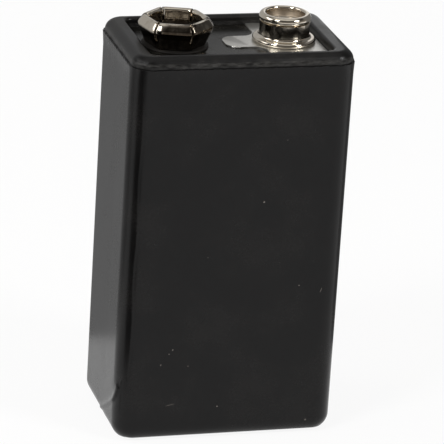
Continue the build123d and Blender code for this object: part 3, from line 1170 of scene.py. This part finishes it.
@dataclass
class Socket:
    """Negative snap: a crown of six petals on a round washer, held by its rivet."""

    sheet: float = 0.28
    corner_centre: float = 2.2
    floor_start: float = 2.0
    foot: float = 3.0
    foot_bend: float = 0.22
    widest: float = 4.04
    widest_below_top: float = 0.95
    widest_bend: float = 0.5
    crest_bend: float = 0.26
    lip_reach: float = 2.93
    lip_length: float = 1.25
    bore: float = 2.88
    hole: float = 1.05
    washer_edge: float = 0.07
    turn: float = 12.5
    petals: int = 6
    slit: float = 0.3
    slit_floor: float = 0.8
    edge_bevel: float = 0.035
    aside: float = 0.1

    def build(self, builder: Builder) -> None:
        """Makes the crown and its rivet and dresses the washer.

        Args:
            builder: Hands the pieces over.
        """
        low, high = box_mm("socket_terminal")
        self.low, self.top = low.z, high.z
        washer_low, washer_high = box_mm("socket_washer")
        self.centre = (washer_low + washer_high) / 2 + Vector((self.aside, 0, 0))
        ring = PetalRing(self.petals, self.turn, self.edge_bevel)
        crown = ring.mesh("crown", self.petal(), Vector((self.centre.x, self.centre.y, 0)), BRIGHT)
        builder.piece(crown, BRIGHT, "socket_terminal", sharp=42)
        Rivet("socket_rivet", self.aside).build(builder)
        builder.piece(self.washer(washer_low.z, washer_high), WASHER, "socket_washer")

    def washer(self, base: float, high: Vector) -> bpy.types.Mesh:
        """Washer with rounded edges.

        Args:
            base: Height of its underside.
            high: The node's highest corner.

        Returns:
            The mesh.
        """
        edge, reach = self.washer_edge, high.x - self.centre.x + self.aside
        outline = Outline().to((self.hole, base)).to((reach - edge, base))
        outline = outline.arc((reach - edge, base + edge), edge, -90, 0, 4)
        outline = outline.arc((reach - edge, high.z - edge), edge, 0, 90, 4)
        return Builder.turned("washer", outline.to((self.hole, high.z)), self.centre)

    def section(self) -> tuple[list[Point], list[Point]]:
        """Both faces of the petal's sheet: floor, leaning wall, crest and lip.

        Returns:
            Points of radius and height on the inner and on the outer face.
        """
        half = self.sheet / 2
        floor = self.low + half
        widest = Vector((self.widest - half, self.top - self.widest_below_top))
        crest = Vector((self.lip_reach + self.crest_bend, self.top - half - self.crest_bend))
        lean = crest - widest
        slope = math.atan2(lean.y, lean.x) - math.asin(self.crest_bend / lean.length)
        apex = widest.y + (self.lip_reach - widest.x) * math.tan(slope)
        corners = [(self.floor_start, floor), (self.foot, floor), tuple(widest), (self.lip_reach, apex),
                   (self.lip_reach, self.top - self.lip_length)]
        path = filleted(corners, [self.foot_bend, self.widest_bend, self.crest_bend], steps=9)
        return thickened(self.divided(path), self.sheet)

    @staticmethod
    def divided(path: Sequence[Point], longest: float = 0.25) -> list[Point]:
        """Path whose long runs are cut into short ones.

        Args:
            path: The path.
            longest: Length of the longest run that stays whole.

        Returns:
            The cut path.
        """
        points = [path[0]]
        for start, end in zip(path, path[1:]):
            pieces = max(1, math.ceil(math.dist(start, end) / longest))
            points += [tuple(Vector(start).lerp(Vector(end), step / pieces)) for step in range(1, pieces + 1)]
        return points

    def placed(self, radius: float, height: float, column: float) -> Vector:
        """Point of a petal.

        Args:
            radius: Distance of the section's point from the axis.
            height: Its height.
            column: Place across the petal: -1 to 1 is flat, and to 2 either side turns the corner to the slit.

        Returns:
            The point, for a petal that faces +X.
        """
        half = self.corner_centre / 2
        apothem = half * math.sqrt(3)
        share = abs(column)
        if share <= 1:
            point = Vector((radius, half * column, height))
        else:
            reach = max(radius - apothem, self.slit / 2 + 0.01)
            last = 30 - math.degrees(math.asin(self.slit / 2 / reach))
            turn = math.radians(last * (share - 1) if share <= 2 else 30)
            point = Vector((apothem + reach * math.cos(turn), half + reach * math.sin(turn), height))
            point.y = math.copysign(point.y, column)
        across = math.hypot(point.x, point.y)
        if height > self.top - self.lip_length - self.sheet and across < self.bore:
            point.x *= self.bore / across
            point.y *= self.bore / across
        return point

    def petal(self) -> bpy.types.Mesh:
        """One petal with its share of the floor, open where it joins its neighbours.

        Returns:
            The mesh.
        """
        inner, outer = self.section()
        corner = [1 + step / 6 for step in range(1, 7)]
        columns = [-3.0, *(-place for place in reversed(corner)), *(step / 3 for step in range(-3, 4)), *corner, 3.0]
        slit_floor = self.low + self.slit_floor
        slit_row = next(row for row, (a, b) in enumerate(zip(inner, outer)) if (a[1] + b[1]) / 2 > slit_floor)
        rows, width = len(inner), len(columns)
        points = [self.placed(*place, column) for place in (*inner, *outer) for column in columns]
        faces = []

        def at(face: int, row: int, column: int) -> int:
            """Index of a point on the inner (0) or outer (1) face."""
            return (face * rows + row) * width + column

        # Both faces, and the slit's sides
        for row in range(rows - 1):
            slit = int(row >= slit_row)
            for column in range(slit, width - 1 - slit):
                for face in (0, 1):
                    corners = [at(face, row, column), at(face, row, column + 1),
                               at(face, row + 1, column + 1), at(face, row + 1, column)]
                    faces.append(corners if face else corners[::-1])
            for column in (1, width - 2) * slit:
                faces.append([at(0, row, column), at(1, row, column), at(1, row + 1, column), at(0, row + 1, column)])
        # The slit's floor, and the lip's end
        edges = [(slit_row, column) for column in (0, width - 2)]
        edges += [(rows - 1, column) for column in range(1, width - 2)]
        for row, column in edges:
            faces.append([at(0, row, column), at(0, row, column + 1), at(1, row, column + 1), at(1, row, column)])
        # The floor as far as the rivet's hole
        start = len(points)
        for face, height in enumerate((self.low + self.sheet, self.low)):
            for column in range(width):
                edge = points[at(face, 0, column)]
                turn = math.atan2(edge.y, edge.x)
                points.append(Vector((self.hole * math.cos(turn), self.hole * math.sin(turn), height)))
        for column in range(width - 1):
            near, far = start + column, start + width + column
            faces.append([near, near + 1, at(0, 0, column + 1), at(0, 0, column)])
            faces.append([far, far + 1, at(1, 0, column + 1), at(1, 0, column)])
            faces.append([near, near + 1, far + 1, far])
        mesh = bpy.data.meshes.new("petal")
        mesh.from_pydata([tuple(point * MM) for point in points], [], faces)
        return mesh

@dataclass
class PetalRing:
    """Geometry Nodes tree that repeats one petal round the axis and joins the copies."""

    count: int
    turn: float
    bevel: float
    merge: float = 0.001
    bevel_over: float = 60.0

    def tree(self) -> bpy.types.NodeTree:
        """The tree, with its sizes as named inputs.

        Returns:
            The tree.
        """
        tree = bpy.data.node_groups.new("ring_of_petals", "GeometryNodeTree")
        inputs = {"Geometry": "Geometry", "Count": "Int", "Turn": "Float", "Merge": "Float", "Finish": "Material"}
        for name, kind in inputs.items():
            tree.interface.new_socket(name, in_out="INPUT", socket_type="NodeSocket" + kind)
        tree.interface.new_socket("Geometry", in_out="OUTPUT", socket_type="NodeSocketGeometry")
        sheet = NodeSheet(tree)
        source = sheet.add("NodeGroupInput").socket.node
        given = {output.name: Signal(tree, output) for output in source.outputs if output.name}
        points = sheet.add("GeometryNodePoints", sockets={"Count": given["Count"]})
        angle = sheet.add("GeometryNodeInputIndex") * (2 * math.pi) / given["Count"] + given["Turn"]
        spin = sheet.add("ShaderNodeCombineXYZ", sockets={"Z": angle})
        ring = sheet.add("GeometryNodeInstanceOnPoints",
                         sockets={"Points": points, "Instance": given["Geometry"], "Rotation": spin})
        for kind, more in (("RealizeInstances", {}), ("MergeByDistance", {"Distance": given["Merge"]}),
                           ("SetMaterial", {"Material": given["Finish"]})):
            ring = sheet.add("GeometryNode" + kind, sockets={"Geometry": ring, **more})
        sheet.add("NodeGroupOutput", sockets={"Geometry": ring})
        return tree

    def mesh(self, name: str, petal: bpy.types.Mesh, centre: Vector, finish: Finish) -> bpy.types.Mesh:
        """The whole ring as a plain mesh.

        Args:
            name: The mesh's name.
            petal: One petal that faces +X, on the axis.
            centre: Where the axis stands, in millimetres.
            finish: Its finish.

        Returns:
            The mesh.
        """
        carrier = shown(name + "_carrier", petal)
        modifier = carrier.modifiers.new("ring", "NODES")
        modifier.node_group = self.tree()
        values = {"Count": self.count, "Turn": math.radians(self.turn), "Merge": self.merge * MM,
                  "Finish": finish.material()}
        for item in modifier.node_group.interface.items_tree:
            if item.in_out == "INPUT" and item.name in values:
                modifier[item.identifier] = values[item.name]
        bevel = carrier.modifiers.new("edges", "BEVEL")
        bevel.width = self.bevel * MM
        bevel.segments = 2
        bevel.limit_method = "ANGLE"
        bevel.angle_limit = math.radians(self.bevel_over)
        evaluated = carrier.evaluated_get(bpy.context.evaluated_depsgraph_get())
        mesh = bpy.data.meshes.new_from_object(evaluated)
        mesh.name = name
        carrier.modifiers.clear()
        bpy.data.objects.remove(carrier)
        mesh.transform(Matrix.Translation(centre * MM))
        with edited(mesh) as work:
            bmesh.ops.recalc_face_normals(work, faces=work.faces)
        return mesh


@dataclass
class CellPack:
    """Six cells in series with their straps, leads, sleeve and pads, all held inside."""

    finishes: tuple[tuple[str, Finish], ...] = (
        ("can", CELL), ("seal", SEAL), ("cap", CELL), ("lead", STRIP), ("strap", STRIP), ("sleeve", SLEEVE),
        ("pad", CARD), ("spacer", SPACER),
    )

    def build(self, builder: Builder) -> None:
        """Dresses every inner piece by the word in its name.

        Args:
            builder: Hands the pieces over.
        """
        for word, finish in self.finishes:
            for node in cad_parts:
                if word in node.split("_"):
                    builder.dress(node, finish)


# Studio
def direction(azimuth: float, elevation: float) -> Vector:
    """Direction from the battery by its azimuth from the front and its elevation, in degrees."""
    a, e = math.radians(azimuth), math.radians(elevation)
    return Vector((math.sin(a) * math.cos(e), -math.cos(a) * math.cos(e), math.sin(e)))


@dataclass(frozen=True)
class Lamp:
    """A soft rectangular lamp that looks at the battery."""

    name: str
    azimuth: float
    elevation: float
    distance: float
    width: float
    height: float
    power: float

    def build(self, aim: Vector) -> None:
        """Adds the lamp.

        Args:
            aim: The point that it looks at.
        """
        light = bpy.data.lights.new(self.name, "AREA")
        light.shape = "RECTANGLE"
        light.size, light.size_y = self.width, self.height
        light.energy = self.power
        lamp = shown(self.name, light)
        towards = direction(self.azimuth, self.elevation)
        lamp.location = aim + towards * self.distance
        lamp.rotation_euler = towards.to_track_quat("Z", "Y").to_euler()


@dataclass(frozen=True)
class Glow(Look):
    """One tone that gives off its own light, for a card that shows only in gloss."""

    tone: float

    def shade(self, sheet: NodeSheet) -> Signal:
        """The glow's shader."""
        return sheet.add("ShaderNodeEmission", sockets={"Color": (self.tone, self.tone, self.tone, 1.0)})


@dataclass(frozen=True)
class Paper(Look):
    """White studio paper that keeps the object's shadow."""

    white: float = 0.86
    own_light: float = 0.9

    def shade(self, sheet: NodeSheet) -> Signal:
        """The paper's shader, brighter for what the camera sees, straight or in a mirror or glass.

        Args:
            sheet: The material's nodes.

        Returns:
            The shader.
        """
        path = sheet.add("ShaderNodeLightPath").socket.node
        camera, gloss, glass = (Signal(sheet.tree, path.outputs[f"Is {kind} Ray"])
                                for kind in ("Camera", "Glossy", "Transmission"))
        seen = camera.math("MINIMUM", camera + gloss + glass, 1.0)
        matte = sheet.add("ShaderNodeBsdfDiffuse", sockets={"Color": (self.white, self.white, self.white, 1.0)})
        bright = sheet.add("ShaderNodeEmission", sockets={"Color": (1.0, 1.0, 1.0, 1.0), "Strength": 1.0})
        return sheet.add("ShaderNodeMixShader", sockets={0: seen * self.own_light, 1: matte, 2: bright})


@dataclass(frozen=True)
class Card:
    """A studio card beside the battery, seen only in its gloss."""

    name: str
    foot: Point
    azimuth: float
    width: float
    tone: float
    height: float = 0.075

    def build(self) -> None:
        """Stands the card on the floor, facing the battery."""
        azimuth = math.radians(self.azimuth)
        foot = Vector((*self.foot, 0))
        aside = Vector((math.cos(azimuth), math.sin(azimuth), 0)) * self.width / 2
        corners = [foot - aside, foot + aside]
        corners += [corner + UP * self.height for corner in reversed(corners)]
        mesh = bpy.data.meshes.new(self.name)
        mesh.from_pydata([tuple(corner) for corner in corners], [], [(0, 1, 2, 3)])
        mesh.materials.append(Glow(self.name, self.tone).material())
        card = shown(self.name, mesh)
        card.visible_camera = card.visible_diffuse = card.visible_shadow = card.visible_transmission = False
        card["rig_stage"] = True


@dataclass
class Studio:
    """White floor that sweeps up behind, soft lamps, and the camera at the photograph's view."""

    azimuth: float = -16.4811
    elevation: float = 20.6015
    roll: float = -3.58664
    offset_mm: tuple[float, float, float] = (-0.5706, 0.3447, 389.851)
    focal_pixels: float = 3394.845
    frame_pixels: float = 444.0
    sensor_mm: float = 36.0
    aim_mm: float = 23.05
    floor_half: float = 0.9
    sweep_start: float = 0.35
    sweep_radius: float = 0.35
    sweep_height: float = 0.8
    cards: tuple[Card, ...] = (
        Card("black_card", (-0.0303, -0.0202), -56, 0.018, 0.003),
        Card("grey_card", (-0.030, 0.019), -163.5, 0.09, 0.47),
        Card("dark_card", (0.031, 0.009), 130, 0.030, 0.2),
    )
    room: tuple[tuple[float, Colour], ...] = (
        (0.0, (0.30, 0.28, 0.26)), (0.35, (0.22, 0.20, 0.18)), (0.55, (0.045, 0.040, 0.036)),
        (0.80, (0.060, 0.055, 0.050)), (0.93, (0.75, 0.74, 0.72)),
    )
    lamps: tuple[Lamp, ...] = (
        Lamp("front_lamp", -57, 42, 0.75, 0.17, 0.24, 2.8),
        Lamp("side_lamp", 46, 38, 0.75, 0.16, 0.24, 2.4),
        Lamp("left_lamp", -105, 30, 0.8, 0.5, 0.5, 2.2),
    )

    def build(self) -> None:
        """Makes the whole studio."""
        bpy.context.scene.view_settings.view_transform = "Standard"
        self.world()
        self.sweep()
        for card in self.cards:
            card.build()
        for lamp in self.lamps:
            lamp.build(UP * self.aim_mm * MM)
        self.camera()

    def world(self) -> None:
        """White for the camera, and for everything else a dim room that is pale overhead and near the floor."""
        world = bpy.data.worlds.new("studio")
        sheet = NodeSheet.of(world)
        camera = sheet.add("ShaderNodeLightPath", out="Is Camera Ray")
        height = sheet.axes(sheet.add("ShaderNodeTexCoord", out="Generated"))[2]
        room = sheet.add("ShaderNodeValToRGB", {"stops": self.room}, {"Fac": height})
        colour = sheet.blend(camera, room, (1.0, 1.0, 1.0))
        sheet.output(sheet.add("ShaderNodeBackground", sockets={0: colour}), "ShaderNodeOutputWorld")
        bpy.context.scene.world = world

    def sweep(self) -> None:
        """Floor and backdrop in one sheet."""
        profile = [(-self.floor_half, 0.0)]
        centre = (self.sweep_start, self.sweep_radius)
        profile += Outline().arc(centre, self.sweep_radius, -90, 0, 16).points
        profile.append((self.sweep_start + self.sweep_radius, self.sweep_height))
        points, faces = [], []
        for y, z in profile:
            points += [(-self.floor_half, y, z), (self.floor_half, y, z)]
        for row in range(len(profile) - 1):
            faces.append((2 * row, 2 * row + 1, 2 * row + 3, 2 * row + 2))
        mesh = bpy.data.meshes.new("sweep")
        mesh.from_pydata(points, [], faces)
        mesh.shade_smooth()
        mesh.materials.append(Paper("studio_paper").material())
        shown("sweep", mesh)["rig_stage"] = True

    def camera(self) -> None:
        """Camera at the photograph's view, with the focal length that fits its frame."""
        roll = math.radians(self.roll)
        ahead = -direction(self.azimuth, self.elevation)
        right = ahead.cross(UP).normalized()
        down = ahead.cross(right)
        across = math.cos(roll) * right + math.sin(roll) * down
        below = -math.sin(roll) * right + math.cos(roll) * down
        x, y, z = (value * MM for value in self.offset_mm)
        place = UP * self.aim_mm * MM - (across * x + below * y + ahead * z)
        lens = bpy.data.cameras.new("camera")
        lens.sensor_width = self.sensor_mm
        lens.lens = self.focal_pixels / self.frame_pixels * self.sensor_mm
        lens.clip_start, lens.clip_end = 0.01, 10.0
        camera = shown("camera", lens)
        turn = Matrix((across, -below, -ahead)).transposed()
        camera.matrix_world = Matrix.Translation(place) @ turn.to_4x4()
        bpy.context.scene.camera = camera


def main() -> None:
    """Builds the studio and the battery, sub-assembly by sub-assembly."""
    logging.basicConfig(level=logging.INFO, format="%(message)s")
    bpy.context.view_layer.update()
    Studio().build()
    builder = Builder()
    for assembly in (Case(), Deck(), Stud(), Socket(), CellPack()):
        assembly.build(builder)
    replaced = {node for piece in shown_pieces() for node in piece.get("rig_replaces", [])}
    left = set(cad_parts) - set(builder.made) - replaced
    log.info("%d pieces and nodes finished, %d left plain", len(builder.made), len(left))


if __name__ == "__main__":
    main()
